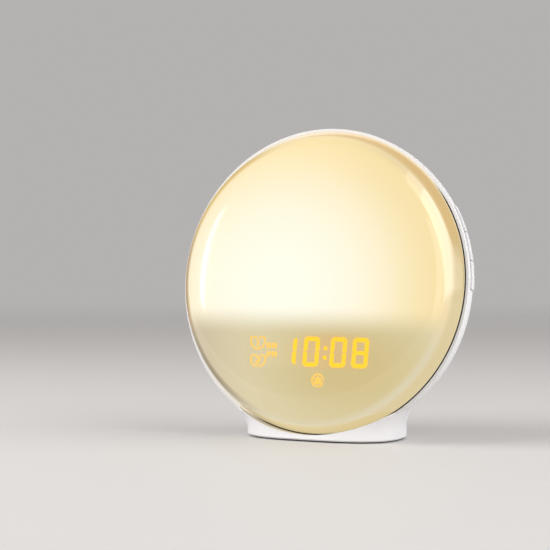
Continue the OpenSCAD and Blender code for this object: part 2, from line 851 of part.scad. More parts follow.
module key_cap_band(z0, z1) {
    intersection() {
        housing_skin(key_rise, -wall - clear - flange_t);
        disc_slab(z0, z1);
        children();
    }
    intersection() {
        housing_skin(-wall - clear, -wall - clear - flange_t);
        disc_slab(max(z0 - flange_lap, -far / 2), min(z1 + flange_lap, -seat_depth - 0.1));
        children(0);
    }
}

module key_stem(a, z) {
    skin = (disc_r - wall - clear) * cos(a) - 0.6;
    y = disc_r * sin(a) * 0.94;
    translate([stem_x, y, z]) rotate([0, 90, 0]) cylinder(h = skin - stem_x, r = stem_r, $fn = 48);
}

module side_key(i) {
    a = i * key_pitch;
    key_cap_band(-key_back - key_depth, -key_back) rotate([0, 0, a]) wedge(key_half, -far / 4, 0);
    key_stem(a, -key_back - key_depth / 2);
}

module snooze_cap() {
    z = -snooze_back - snooze_depth / 2;
    half = snooze_l / 2;
    key_cap_band(-snooze_back - snooze_depth, -snooze_back)
        block([0, -half, -far / 4], [far / 2, half, 0]);
    for (side = [-1, 1]) key_stem(side * 9, z);
}

module key_right_upper() { color("white") right_row() side_key(1); }
module key_right_middle() { color("white") right_row() side_key(0); }
module key_right_lower() { color("white") right_row() side_key(-1); }
module key_left_upper() { color("white") left_row() side_key(1); }
module key_left_middle() { color("white") left_row() side_key(0); }
module key_left_lower() { color("white") left_row() side_key(-1); }
module snooze_key() { color("white") top_row() snooze_cap(); }

module row_board(half, back) {
    block([key_board_x, -half, -back], [key_board_x + board_t, half, -board_front]);
}

module row_switches(angles, z) {
    for (a = angles) translate([key_board_x + board_t, disc_r * sin(a) * 0.94, z]) {
        block([0, -switch_side / 2, -switch_side / 2], [switch_h, switch_side / 2, switch_side / 2]);
        rotate([0, 90, 0]) cylinder(h = switch_h + plunger_h, r = plunger_r, $fn = 48);
    }
}

module side_row_board() { row_board(row_holder_y, key_back + key_depth); }
module side_row_switches() {
    row_switches([-key_pitch, 0, key_pitch], -key_back - key_depth / 2);
}

module key_board_right() { color("darkgreen") right_row() side_row_board(); }
module key_board_left() { color("darkgreen") left_row() side_row_board(); }
module snooze_board() {
    color("darkgreen") top_row() row_board(snooze_l / 2 - 2, snooze_back + snooze_depth);
}
module switches_right() { color("dimgray") right_row() side_row_switches(); }
module switches_left() { color("dimgray") left_row() side_row_switches(); }
module switches_snooze() {
    color("dimgray") top_row() row_switches([-9, 9], -snooze_back - snooze_depth / 2);
}

// ---------------------------------------------------------------------------
// Speaker, its mouth towards the grille

module at_speaker(z) { disc_frame() translate([0, speaker_y, z]) children(); }

module speaker_gasket() {
    color("black") at_speaker(seat_z - gasket_t) difference() {
        cylinder(h = gasket_t, r = speaker_r);
        translate([0, 0, -1]) cylinder(h = gasket_t + 2, r = speaker_r - 2.6);
    }
}

module speaker_frame() {
    inner = speaker_r - 2.6;
    neck = speaker_r * 0.62;
    color("gray") at_speaker(seat_z) rotate_extrude() polygon([
        [inner, 0], [speaker_r, 0], [speaker_r, frame_t], [inner + 1, frame_t], [neck, basket_h],
        [3, basket_h], [3, basket_h - 1], [neck - 0.8, basket_h - 1], [inner, frame_t * 0.7]]);
}

module speaker_magnet() {
    color("dimgray") at_speaker(seat_z + basket_h) {
        cylinder(h = magnet_h, r = speaker_r * 0.58);
        translate([0, 0, magnet_h - sliver]) cylinder(h = 1.2, r = speaker_r * 0.45);
    }
}

module speaker_cone() {
    inner = speaker_r - 2.6;
    color("black") at_speaker(seat_z) rotate_extrude() polygon([
        [0, 4.2], [3.6, 3.4], [inner - 3.2, 0.5], [inner - 1.6, -0.4], [inner - 0.1, 0.3], [inner - 0.1, 0.8],
        [inner - 1.6, 0.1], [inner - 3.2, 1.1], [3.6, 5], [0, 5.4]]);
}

// ---------------------------------------------------------------------------
// Inlet, base and backup cell

module inlet_body() {
    color("black") translate([0, inlet_face, inlet_z]) rotate([-90, 0, 0]) difference() {
        union() {
            translate([-inlet_w / 2, -inlet_h / 2, -wall - inlet_l]) cube([inlet_w, inlet_h, inlet_l]);
            translate([0, 0, -wall - sliver]) cylinder(h = wall - 0.2, r = nose_r);
        }
        translate([0, 0, -wall - 9]) cylinder(h = far / 4, d = inlet_hole);
        translate([0, 0, -wall - inlet_l - 1]) cylinder(h = inlet_l, d = inlet_pin + 2 * near_fit);
    }
}

module inlet_pin_contact() {
    color("silver") translate([0, inlet_face, inlet_z]) rotate([-90, 0, 0])
        translate([0, 0, -wall - inlet_l]) cylinder(h = inlet_l + wall - 1.5, d = inlet_pin);
}

// The base plate's outline: the foot's inner outline, cut off along the toe
module base_outline() {
    toe_y = disc_y - (disc_z - base_top) * tan(lean) - toe_z / cos(lean) + clear;
    intersection() {
        polygon([for (i = [0:columns - 1]) foot_outline(360 * i / columns, wall + clear)]);
        translate([-far / 2, toe_y]) square([far, far]);
    }
}

function pad_places() = [for (at = [pad_front, pad_back], side = [-1, 1]) [side * at.x, disc_y + at.y]];

// The cell's frame, turned so that its contact post stands at -Y
module at_cell() {
    translate([cell_at.x, cell_at.y, 0]) rotate([0, 0, post_angle]) children();
}

// The post that holds the two contact strips
module strip_holder() {
    at_cell() block([-3, -strip_post[1], base_top - sliver], [6, -strip_post[0], strip_z]);
}

// The round hole of the twist door, with a notch for each lug
module cell_hole() {
    translate([cell_at.x, cell_at.y, foot_z - 1]) {
        cylinder(h = 1 + door_t + near_fit, r = door_r + clear);
        cylinder(h = far / 4, r = door_ring_r + clear);
        for (a = lug_angles) rotate([0, 0, a + door_turn]) intersection() {
            wedge(lug_half + 3, 0, far / 4);
            cylinder(h = far / 4, r = lug_r + clear);
        }
    }
}

module inlet_cradle() {
    h = inlet_z - inlet_h / 2 - base_top;
    y0 = inlet_face - wall - inlet_l;
    y1 = inlet_face - wall - 3;
    in = inlet_w / 2 + clear;
    block([-in - 1.5, y0 + 1, base_top - sliver], [in + 1.5, y1, base_top + h - 0.1]);
    for (side = [0, 1]) mirror([side, 0, 0])
        block([in, y0 + 1, base_top], [in + 1.5, y1, base_top + h + 4]);
}

module base_plate() {
    color("white") difference() {
        union() {
            translate([0, 0, foot_z]) linear_extrude(base_t) base_outline();
            strip_holder();
            inlet_cradle();
        }
        disc_frame() housing_solid(clear);
        for (at = boss_places()) {
            translate([at.x, at.y, foot_z - 1]) cylinder(h = far / 4, r = screw_r);
            translate([at.x, at.y, foot_z - 1]) cylinder(h = 1 + screw_head_t + 0.1, r = screw_head_r + 0.3);
        }
        for (at = pad_places()) translate([at.x, at.y, foot_z - 1])
            cylinder(h = 1 + pad_pocket + sliver, r = pad_r + near_fit);
        cell_hole();
    }
}

module base_screws() {
    color("silver") for (at = boss_places())
        translate([at.x, at.y, foot_z + screw_head_t + 0.1]) mirror([0, 0, 1]) pan_screw(6.5);
}

module rubber_feet() {
    color("dimgray") for (at = pad_places()) translate([at.x, at.y, 0]) {
        cylinder(h = pad_t, r = pad_r);
    }
}

// Twist door flush with the base, with a slot for a coin; its lugs reach over the base plate
module cell_door() {
    color("white") translate([cell_at.x, cell_at.y, 0]) {
        translate([0, 0, foot_z]) difference() {
            cylinder(h = door_t, r = door_r);
            block([-7, -0.9, -1], [7, 0.9, 0.8]);
        }
        difference() {
            union() {
                translate([0, 0, foot_z + door_t - sliver])
                    cylinder(h = door_ring_top - foot_z - door_t + sliver, r = door_ring_r);
                for (a = lug_angles) rotate([0, 0, a]) intersection() {
                    wedge(lug_half, base_top + near_fit, base_top + near_fit + lug_t);
                    cylinder(h = far, r = lug_r);
                }
            }
            translate([0, 0, foot_z + door_t]) cylinder(h = far, r = cell_d / 2 + clear);
        }
    }
}

module coin_cell() {
    color("silver") translate([cell_at.x, cell_at.y, cell_z]) {
        cylinder(h = cell_t - cell_step, r = cell_d / 2);
        translate([0, 0, cell_t - cell_step - sliver]) cylinder(h = cell_step + sliver, r = cell_d / 2 - 1.2);
    }
}

// A spring strip from the post to a place on the cell, with its tip bent down to height low
module contact_strip(x, w, y, low) {
    block([x - w / 2, -strip_post[1] + 0.5, strip_z], [x + w / 2, y + strip_t / 2, strip_z + strip_t]);
    block([x - w / 2, y - strip_t / 2, low], [x + w / 2, y + strip_t / 2, strip_z + strip_t]);
}

// One strip on the cell's middle and one on the shoulder of its can
module cell_contacts() {
    side_x = 4.1;
    shoulder_r = cell_d / 2 - 0.6;
    color("gold") at_cell() {
        contact_strip(0, 4.4, 1.5, cell_z + cell_t + 0.1);
        contact_strip(side_x, 1.4, -sqrt(shoulder_r ^ 2 - side_x ^ 2), cell_z + cell_t - cell_step + 0.1);
    }
}

rear_housing();
front_cover();
reflector_tray();
led_board();
led_chips();
display_block();
segments_lit();
segments_off();
display_marks();
display_ribbon();
main_board();
board_parts();
key_right_upper();
key_right_middle();
key_right_lower();
key_left_upper();
key_left_middle();
key_left_lower();
snooze_key();
key_board_right();
key_board_left();
snooze_board();
switches_right();
switches_left();
switches_snooze();
speaker_gasket();
speaker_frame();
speaker_magnet();
speaker_cone();
inlet_body();
inlet_pin_contact();
base_plate();
base_screws();
rubber_feet();
cell_door();
coin_cell();
cell_contacts();
tray_screws();
board_screws();
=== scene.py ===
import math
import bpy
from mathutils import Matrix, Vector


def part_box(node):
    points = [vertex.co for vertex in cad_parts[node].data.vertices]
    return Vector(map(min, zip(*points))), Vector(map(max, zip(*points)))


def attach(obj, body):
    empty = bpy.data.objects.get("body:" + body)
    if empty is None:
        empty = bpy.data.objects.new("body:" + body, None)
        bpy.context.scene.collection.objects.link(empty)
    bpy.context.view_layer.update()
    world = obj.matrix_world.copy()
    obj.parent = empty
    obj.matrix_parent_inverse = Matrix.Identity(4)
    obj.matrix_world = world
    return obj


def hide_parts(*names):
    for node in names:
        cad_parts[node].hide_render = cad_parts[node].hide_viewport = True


bl_info = {
    "name": "Sunrise alarm clock",
    "version": (1, 0, 0),
    "blender": (4, 5, 0),
    "location": "View3D > Sidebar > Clock",
    "description": "Dresses the packed clock: glowing opal cover, satin housing, keys, display and studio",
    "category": "Object",
}

import bpy
from mathutils import Matrix, Vector

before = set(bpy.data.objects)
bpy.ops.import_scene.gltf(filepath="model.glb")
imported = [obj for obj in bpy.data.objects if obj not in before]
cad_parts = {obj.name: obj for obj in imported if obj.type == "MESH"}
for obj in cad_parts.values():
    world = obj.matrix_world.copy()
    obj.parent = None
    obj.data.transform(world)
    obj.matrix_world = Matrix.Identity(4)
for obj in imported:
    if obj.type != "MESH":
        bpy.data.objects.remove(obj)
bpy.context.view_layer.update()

MM = 0.001

# The disc's own frame: +Z out of the front, +Y up the disc, from the middle of the front rim
LEAN = math.radians(6)
DISC_R = 85 * MM
RIM_LIFT = 1.2 * MM
CELL_BEHIND_DISC = 16.5 * MM


def disc_frame():
    """Matrix from the disc's frame to the row frame; the cell door gives the disc's place in depth."""
    low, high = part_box("cell_door")
    middle_y = (low.y + high.y) / 2 - CELL_BEHIND_DISC
    middle_z = RIM_LIFT + DISC_R * math.cos(LEAN)
    return Matrix.Translation((0, middle_y, middle_z)) @ Matrix.Rotation(math.pi / 2 - LEAN, 4, "X")


DISC = disc_frame()
DISC_AT = DISC.translation

# Colours of the lit cover's outer zones and of what lies round it, painted shade and painted light among
# them; the main ones are settings below
OUTER_LEFT = (0.98, 0.77, 0.375)
LOW_RIM_LEFT = (0.56, 0.47, 0.30)
SHADED_TURN_MID_LEFT, SHADED_TURN_TOP_LEFT, TURN_RIGHT = (0.42, 0.24, 0.04), (0.70, 0.45, 0.07), (0.82, 0.65, 0.34)
SHADED_TURN_LOW_LEFT, TURN_LOW_RIGHT = (0.19, 0.13, 0.03), (0.66, 0.58, 0.37)
SIDE_TOP_LEFT, SIDE_TOP_RIGHT = (0.88, 0.54, 0.11), (0.66, 0.43, 0.13)
SIDE_MIDDLE = (0.50, 0.35, 0.08)
SIDE_LOW_LEFT, SIDE_LOW_RIGHT = (0.30, 0.25, 0.13), (0.67, 0.535, 0.265)
PALE_EDGE = (0.72, 0.60, 0.34)
SHADOW = (0.006, 0.005, 0.004)
SEAL_PAINTED_LIGHT = (0.92, 0.82, 0.68)
DIGIT_HALO = (0.74, 0.42, 0.16)

# Places on the disc, in millimetres from its middle: (x, y) and reach, or where a zone starts and is full
LAMP_MIDDLE, LAMP_REACH = (-16, -6), (92, 88)
DIM_MIDDLE, DIM_REACH = (26, -46), (74, 46)
HALO_MIDDLE, HALO_REACH = (14.5, -38.8), (27, 13)
DISPLAY_TO_LAMPS = (-31, -14)
TURN_R, TURN_R_MORE, TURN_WIDTH = 73.6, 1.6, 3.2
SIDE_R, EDGE_R = (78.6, 80.6), (81, 82)
EDGE_Z, SEAT_Z = (1.3, 0.9), (0.58, 0.44)
# Left, right, bottom and top of the windows for the display's row and for the mark below it
ROW_WINDOW = (-36, 40, -49.4, -28)
MARK_WINDOW = (2, 13.6, -59.4, -46)
WINDOW_SOFT = 2.6
# The cover's back is clear a little farther out, so that its edge never shows
CLEAR_WIDER, CLEAR_SOFT = 2.2, 0.1
WINDOW_ABOVE_Z = 8.0
SPEAKER_UP = 10.0

# Depth of the housing's and keys' grain
SATIN_DEPTH = 0.002 * MM


# ---------------------------------------------------------------------------
# Sizes, finishes and studio settings


def length(label, note, default):
    return bpy.props.FloatProperty(
        name=label, description=note, default=default, unit="LENGTH", precision=5
    )


def colour(label, note, default):
    return bpy.props.FloatVectorProperty(
        name=label, description=note, default=default, subtype="COLOR", size=3, min=0, max=4
    )


def factor(label, note, default, top=1.0):
    return bpy.props.FloatProperty(
        name=label, description=note, default=default, subtype="FACTOR", min=0, max=top
    )


def degrees(label, note, default):
    return bpy.props.FloatProperty(
        name=label, description=note, default=math.radians(default), subtype="ANGLE"
    )


class CoverSizes(bpy.types.PropertyGroup):
    rise: length("Rise", "Height of the cover in front of the rim", 19.5 * MM)
    edge_radius: length("Edge radius", "Radius of the cover where it leaves its seat", 83.25 * MM)
    turn_radius: length("Turn radius", "Radius between the cover's side and its face", 14 * MM)
    crown_radius: length("Crown radius", "Radius of the gently crowned face", 1000 * MM)
    draft: degrees("Draft", "Draft of the cover's side", 22)
    lap: length("Lap", "Depth of the cover's edge in its seat", 2.2 * MM)
    thickness: length("Wall", "Wall of the cover", 2 * MM)
    lip: length("Lip", "Height of the small round on the cover's lower edge", 0.35 * MM)
    flat_radius: length("Flat radius", "Radius within which the face keeps its crown", 46 * MM)
    steps: bpy.props.IntProperty(name="Steps", description="Steps round the cover", default=192, min=24)


class DigitSizes(bpy.types.PropertyGroup):
    width: length("Width", "Width of a digit", 9.2 * MM)
    height: length("Height", "Height of a digit", 16.1 * MM)
    upright: length("Upright stroke", "Width of the upright strokes", 2.25 * MM)
    level: length("Level stroke", "Height of the level strokes", 2.35 * MM)
    corner: length("Corner", "Radius of a digit's outer corners", 2.1 * MM)
    seam: length("Seam", "Gap between neighbouring strokes", 0.2 * MM)
    drop: length("Drop", "Middle of the digits below the disc's middle", 39.0 * MM)
    dot: length("Dot", "Radius of the colon's dots", 1.15 * MM)
    slant: degrees("Slant", "Slant of the digits", 2.8)


class ClockFinish(bpy.types.PropertyGroup):
    housing: colour("Housing", "Colour of the white moulding", (0.80, 0.795, 0.81))
    key: colour("Keys", "Colour of the keys", (0.78, 0.775, 0.79))
    glow_middle: colour("Glow, middle", "Lit cover over the lamps", (1.0, 0.985, 0.83))
    glow_field: colour("Glow, field", "Lit cover round its middle", (1.0, 0.92, 0.70))
    glow_outer: colour("Glow, outer", "Lit cover near its turn", (0.91, 0.725, 0.345))
    glow_low: colour("Glow, below", "Cover over the display", (0.60, 0.47, 0.185))
    glow_low_outer: colour("Glow, below, outer", "Cover beside and under the display", (0.68, 0.59, 0.35))
    segment: colour("Segments", "Lit windows of the display", (1.15, 0.635, 0.0))
    mark: colour("Marks", "Lit marks beside and under the digits", (1.0, 0.58, 0.10))
    window: factor("Window", "How much of the cover shows over the display", 0.07)
    cover_roughness: factor("Cover gloss", "Roughness of the cover's clear skin", 0.06)
    opal_roughness: factor("Opal roughness", "Roughness of the plastic under that skin", 0.24)
    housing_roughness: factor("Housing roughness", "Roughness of the white moulding", 0.38)


class StudioSettings(bpy.types.PropertyGroup):
    camera_from_disc: bpy.props.FloatVectorProperty(
        name="Camera", description="Place of the camera from the middle of the disc's rim",
        default=(0.3384, -0.7508, 0.0109), subtype="TRANSLATION",
    )
    camera_yaw: degrees("Yaw", "Turn of the camera about the upright", 26)
    camera_pitch: degrees("Pitch", "Upward tilt of the camera", -0.4966)
    lens_mm: bpy.props.FloatProperty(
        name="Lens", description="Focal length on a 36 mm wide sensor", default=98.18,
        subtype="DISTANCE_CAMERA",
    )
    backdrop: colour("Backdrop", "Brightness all round the stage", (0.46, 0.447, 0.44))
    front_wall: colour("Front wall", "Brightness in front of the clock", (0.62, 0.605, 0.595))
    floor: colour("Floor", "Colour of the floor", (0.60, 0.585, 0.575))
    key_light: factor("Key light", "Brightness of the softbox at the front left", 5.0, 40)
    right_light: factor("Right light", "Brightness of the tall softbox at the right", 2.4, 40)
    right_fill: factor("Right fill", "Brightness of the softbox in front of the tall one", 0.6, 40)
    streak_light: factor("Left streak", "Brightness of the narrow softbox at the left", 3.0, 40)


# ---------------------------------------------------------------------------
# Modelling helpers


def deselect_all():
    if bpy.context.object and bpy.context.object.mode != "OBJECT":
        bpy.ops.object.mode_set(mode="OBJECT")
    bpy.ops.object.select_all(action="DESELECT")


def make_active(piece):
    deselect_all()
    piece.select_set(True)
    bpy.context.view_layer.objects.active = piece


def drawn_line(name, points):
    """A mesh line through the points: one vertex, extruded from place to place."""
    deselect_all()
    bpy.ops.mesh.primitive_plane_add(size=MM, location=(0, 0, 0))
    piece = bpy.context.active_object
    piece.name = piece.data.name = name
    bpy.ops.object.mode_set(mode="EDIT")
    bpy.ops.mesh.select_mode(type="VERT")
    bpy.ops.mesh.select_all(action="SELECT")
    bpy.ops.mesh.merge(type="CENTER")
    bpy.ops.mesh.select_all(action="SELECT")
    bpy.ops.transform.translate(value=points[0])
    for before, after in zip(points, points[1:]):
        step = Vector(after) - Vector(before)
        bpy.ops.mesh.extrude_region_move(TRANSFORM_OT_translate={"value": step})
    bpy.ops.object.mode_set(mode="OBJECT")
    return piece


def turned(name, profile, steps):
    """Spins a profile of (radius, height) points about the disc's axis and puts it in the row frame."""
    piece = drawn_line(name, [(r, 0, z) for r, z in profile])
    make_active(piece)
    bpy.ops.object.mode_set(mode="EDIT")
    bpy.ops.mesh.select_all(action="SELECT")
    bpy.ops.mesh.spin(steps=steps, angle=math.tau, center=(0, 0, 0), axis=(0, 0, 1))
    bpy.ops.mesh.select_all(action="SELECT")
    bpy.ops.mesh.remove_doubles(threshold=1e-7)
    bpy.ops.mesh.normals_make_consistent(inside=False)
    bpy.ops.object.mode_set(mode="OBJECT")
    piece.matrix_world = DISC
    bpy.ops.object.transform_apply(location=True, rotation=True, scale=True)
    return piece


def merged_copy(node, name):
    """A copy of a CAD node with its loose triangles joined."""
    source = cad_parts[node]
    piece = bpy.data.objects.new(name, source.data.copy())
    piece.data.name = name
    piece.data.materials.clear()
    bpy.context.scene.collection.objects.link(piece)
    make_active(piece)
    bpy.ops.mesh.customdata_custom_splitnormals_clear()
    bpy.ops.object.mode_set(mode="EDIT")
    bpy.ops.mesh.select_all(action="SELECT")
    bpy.ops.mesh.remove_doubles(threshold=1e-6)
    bpy.ops.object.mode_set(mode="OBJECT")
    return piece


def smooth(piece, angle):
    """Shades smooth, but for edges that turn by more than the angle, in degrees."""
    make_active(piece)
    bpy.ops.object.shade_smooth_by_angle(angle=math.radians(angle))


def arc(centre, radius, first, last, count):
    """Points on an arc, from one angle to another in so many steps."""
    angles = [first + (last - first) * i / count for i in range(count + 1)]
    return [(centre[0] + radius * math.cos(a), centre[1] + radius * math.sin(a)) for a in angles]


# ---------------------------------------------------------------------------
# Node helpers and the effects that several materials share


def put(tree, kind, inputs=None, **settings):
    """Adds a node; its inputs are sockets to link or constants to set."""
    made = tree.nodes.new(kind)
    for name, value in settings.items():
        setattr(made, name, value)
    for name, value in (inputs or {}).items():
        if isinstance(value, bpy.types.NodeSocket):
            tree.links.new(value, made.inputs[name])
        else:
            made.inputs[name].default_value = value
    return made


def math_node(tree, operation, a, b=0.0):
    return put(tree, "ShaderNodeMath", {0: a, 1: b}, operation=operation).outputs[0]


def times(tree, a, b):
    return math_node(tree, "MULTIPLY", a, b)


def one_minus(tree, value):
    return math_node(tree, "SUBTRACT", 1.0, value)


def smooth_step(tree, value, low, high):
    """0 at low, 1 at high, with a soft start and end."""
    made = put(tree, "ShaderNodeMapRange", {"Value": value, "From Min": low, "From Max": high},
               interpolation_type="SMOOTHSTEP")
    return made.outputs["Result"]


def blend(tree, share, a, b):
    """Colour a where the share is 0, colour b where it is 1."""
    made = tree.nodes.new("ShaderNodeMix")
    made.data_type = "RGBA"
    # A mix node has one row of sockets for each kind of data; these are the colours'
    share_in, a_in, b_in, colour_out = made.inputs[0], made.inputs[6], made.inputs[7], made.outputs[2]
    tree.links.new(share, share_in)
    for value, socket in ((a, a_in), (b, b_in)):
        if isinstance(value, bpy.types.NodeSocket):
            tree.links.new(value, socket)
        else:
            socket.default_value = (*value, 1)
    return colour_out


def length_of(tree, x, y):
    return math_node(tree, "SQRT", math_node(tree, "ADD", times(tree, x, x), times(tree, y, y)))


def shifted(tree, value, start, scale):
    """(value - start) / scale"""
    return math_node(tree, "DIVIDE", math_node(tree, "SUBTRACT", value, start), scale)


def distance_from(tree, x, y, middle, reach):
    """Distance from a middle, 1 at the edge of an oval of that reach."""
    return length_of(tree, shifted(tree, x, middle[0], reach[0]), shifted(tree, y, middle[1], reach[1]))


def in_seat_shadow(tree, x, y):
    """1 round the disc where the seat is in shadow, 0 along the top and the left."""
    return times(tree, smooth_step(tree, x, -46, -26), smooth_step(tree, y, 56, 42))


def new_group(name, inputs, outputs):
    """A node group: the tree, what it is given and what it gives."""
    group = bpy.data.node_groups.new(name, "ShaderNodeTree")
    for label, kind, default in inputs:
        socket = group.interface.new_socket(label, in_out="INPUT", socket_type=kind)
        socket.default_value = default
    for label, kind in outputs:
        group.interface.new_socket(label, in_out="OUTPUT", socket_type=kind)
    given = group.nodes.new("NodeGroupInput").outputs
    return group, given, group.nodes.new("NodeGroupOutput").inputs


def shared(tree, name):
    """Outputs of a shared effect."""
    return put(tree, "ShaderNodeGroup", node_tree=bpy.data.node_groups[name]).outputs


def disc_place_group():
    """Place in the disc's frame, in millimetres."""
    group, _, out = new_group("Disc place", [], [(axis, "NodeSocketFloat") for axis in "XYZ"])
    place = put(group, "ShaderNodeTexCoord").outputs["Object"]
    turn = DISC.to_3x3().inverted()
    mapping = {"Vector": place, "Location": -(turn @ DISC_AT), "Rotation": turn.to_euler()}
    mapped = put(group, "ShaderNodeMapping", mapping, vector_type="POINT")
    apart = put(group, "ShaderNodeSeparateXYZ", {0: mapped.outputs[0]})
    for axis in "XYZ":
        group.links.new(math_node(group, "DIVIDE", apart.outputs[axis], MM), out[axis])


def fine_grain_group():
    """The fine texture of a moulding: a height for a bump and a small shade change."""
    uneven, broad_scale = 0.03, 38.0
    group, given, out = new_group(
        "Fine grain",
        [("Grain size", "NodeSocketFloat", 0.4 * MM), ("Unevenness", "NodeSocketFloat", uneven)],
        [("Height", "NodeSocketFloat"), ("Shade", "NodeSocketFloat")],
    )
    place = put(group, "ShaderNodeTexCoord").outputs["Object"]
    fine_scale = math_node(group, "DIVIDE", 1.0, given["Grain size"])
    fine = put(group, "ShaderNodeTexNoise", {"Vector": place, "Scale": fine_scale, "Detail": 2.0})
    broad = put(group, "ShaderNodeTexNoise", {"Vector": place, "Scale": broad_scale, "Detail": 2.0})
    about_zero = math_node(group, "SUBTRACT", broad.outputs[0], 0.5)
    shade = math_node(group, "ADD", times(group, about_zero, given["Unevenness"]), 1.0)
    group.links.new(fine.outputs[0], out["Height"])
    group.links.new(shade, out["Shade"])


def lamp_glow_group(finish):
    """Colour of the lit cover over its whole face, for the cover's skin and for the display behind it."""
    group, given, out = new_group(
        "Lamp glow",
        [
            ("Middle", "NodeSocketColor", (*finish.glow_middle, 1)),
            ("Field", "NodeSocketColor", (*finish.glow_field, 1)),
            ("Outer", "NodeSocketColor", (*finish.glow_outer, 1)),
            ("Below", "NodeSocketColor", (*finish.glow_low, 1)),
            ("Below outer", "NodeSocketColor", (*finish.glow_low_outer, 1)),
        ],
        [("Colour", "NodeSocketColor"), ("Window", "NodeSocketFloat"), ("Clear", "NodeSocketFloat"),
         ("Gloss", "NodeSocketFloat")],
    )
    place = shared(group, "Disc place")
    x, y, z = place["X"], place["Y"], place["Z"]
    radius = length_of(group, x, y)

    def across(low, high):
        return smooth_step(group, x, low, high)

    def upward(low, high):
        return smooth_step(group, y, low, high)

    # Over the lamps: nearly white a little left of the middle, warmer outwards
    away = distance_from(group, x, y, LAMP_MIDDLE, LAMP_REACH)
    lamps = blend(group, smooth_step(group, away, 0.1, 0.62), given["Middle"], given["Field"])
    outer = blend(group, across(-10, 50), OUTER_LEFT, given["Outer"])
    lamps = blend(group, smooth_step(group, away, 0.45, 1.02), lamps, outer)
    # Over the display: darkest round the digits
    low_away = distance_from(group, x, y, DIM_MIDDLE, DIM_REACH)
    low_rim = blend(group, across(-72, -25), LOW_RIM_LEFT, given["Below outer"])
    below = blend(group, smooth_step(group, low_away, 0.1, 1.0), given["Below"], low_rim)
    face = blend(group, upward(*DISPLAY_TO_LAMPS), below, lamps)

    # The turn lies outside the lamps' box and is darker; it is darker still at the left, where the dark is
    # painted shade, and lighter at the right
    shaded_turn_left = blend(group, upward(5, 45), SHADED_TURN_MID_LEFT, SHADED_TURN_TOP_LEFT)
    turn = blend(group, across(-55, 20), shaded_turn_left, TURN_RIGHT)
    turn_low = blend(group, across(-62, -20), SHADED_TURN_LOW_LEFT, TURN_LOW_RIGHT)
    turn = blend(group, upward(-14, -40), turn, turn_low)
    inner = math_node(group, "ADD", TURN_R, times(group, across(-50, 20), TURN_R_MORE))
    past_turn = smooth_step(group, math_node(group, "SUBTRACT", radius, inner), 0.0, TURN_WIDTH)
    face = blend(group, times(group, past_turn, upward(78, 64)), face, turn)

    # The drafted side, seen through its thickness and darkened with painted shade: gold on top, olive at
    # the lower left
    side_top = blend(group, across(-40, 70), SIDE_TOP_LEFT, SIDE_TOP_RIGHT)
    side_low = blend(group, across(-62, -12), SIDE_LOW_LEFT, SIDE_LOW_RIGHT)
    side = blend(group, upward(4, -14), SIDE_MIDDLE, side_low)
    side = blend(group, upward(8, 36), side, side_top)
    face = blend(group, smooth_step(group, radius, *SIDE_R), face, side)
    # A pale line along the lower edge, then the dark part in the seat
    edge = times(group, smooth_step(group, z, *EDGE_Z), smooth_step(group, radius, *EDGE_R))
    face = blend(group, edge, face, PALE_EDGE)
    dark = times(group, smooth_step(group, z, *SEAT_Z), in_seat_shadow(group, x, y))
    group.links.new(blend(group, dark, face, SHADOW), out["Colour"])
    group.links.new(one_minus(group, dark), out["Gloss"])

    def soft_box(box, wider, soft):
        """1 inside a box of left, right, bottom and top, with soft edges."""
        left, right, bottom, top = box[0] - wider, box[1] + wider, box[2] - wider, box[3] + wider
        return times(
            group,
            times(group, across(left, left + soft), across(right, right - soft)),
            times(group, upward(bottom, bottom + soft), upward(top, top - soft)),
        )

    def window(wider, soft):
        boxes = [soft_box(box, wider, soft) for box in (ROW_WINDOW, MARK_WINDOW)]
        front = math_node(group, "GREATER_THAN", z, WINDOW_ABOVE_Z)
        return times(group, math_node(group, "MAXIMUM", *boxes), front)

    group.links.new(window(0, WINDOW_SOFT), out["Window"])
    group.links.new(window(CLEAR_WIDER, CLEAR_SOFT), out["Clear"])


SOCKETS = {
    "base": "Base Color",
    "roughness": "Roughness",
    "metallic": "Metallic",
    "ior": "IOR",
    "specular": "Specular IOR Level",
    "coat_roughness": "Coat Roughness",
    "coat_ior": "Coat IOR",
    "emission": "Emission Strength",
}


def new_material(name, **constants):
    """A material with one shader; the constants are set on the shader's own sockets."""
    made = bpy.data.materials.new(name)
    made.use_nodes = True
    tree = made.node_tree
    tree.nodes.clear()
    shader = tree.nodes.new("ShaderNodeBsdfPrincipled")
    output = tree.nodes.new("ShaderNodeOutputMaterial")
    tree.links.new(shader.outputs[0], output.inputs["Surface"])
    for label, value in constants.items():
        shader.inputs[SOCKETS[label]].default_value = (*value, 1) if isinstance(value, tuple) else value
    return made, tree, shader


def shaded(tree, tint):
    """A tint with the fine grain's small shade change, and the grain itself."""
    texture = put(tree, "ShaderNodeGroup", node_tree=bpy.data.node_groups["Fine grain"])
    factors = {0: tuple(tint), 1: texture.outputs["Shade"]}
    tinted = put(tree, "ShaderNodeVectorMath", factors, operation="MULTIPLY")
    return tinted.outputs[0], texture


def bumped(tree, shader, height, depth):
    bump = put(tree, "ShaderNodeBump", {"Height": height, "Distance": depth, "Strength": 1.0})
    tree.links.new(bump.outputs[0], shader.inputs["Normal"])


def grained(name, base, roughness, metallic=0.0, grain=0.4 * MM, depth=0.02 * MM):
    """A plain finish with a fine grain: colour, roughness and bump."""
    made, tree, shader = new_material(name, roughness=roughness, metallic=metallic)
    tinted, texture = shaded(tree, base)
    texture.inputs["Grain size"].default_value = grain
    tree.links.new(tinted, shader.inputs["Base Color"])
    bumped(tree, shader, texture.outputs["Height"], depth)
    return made


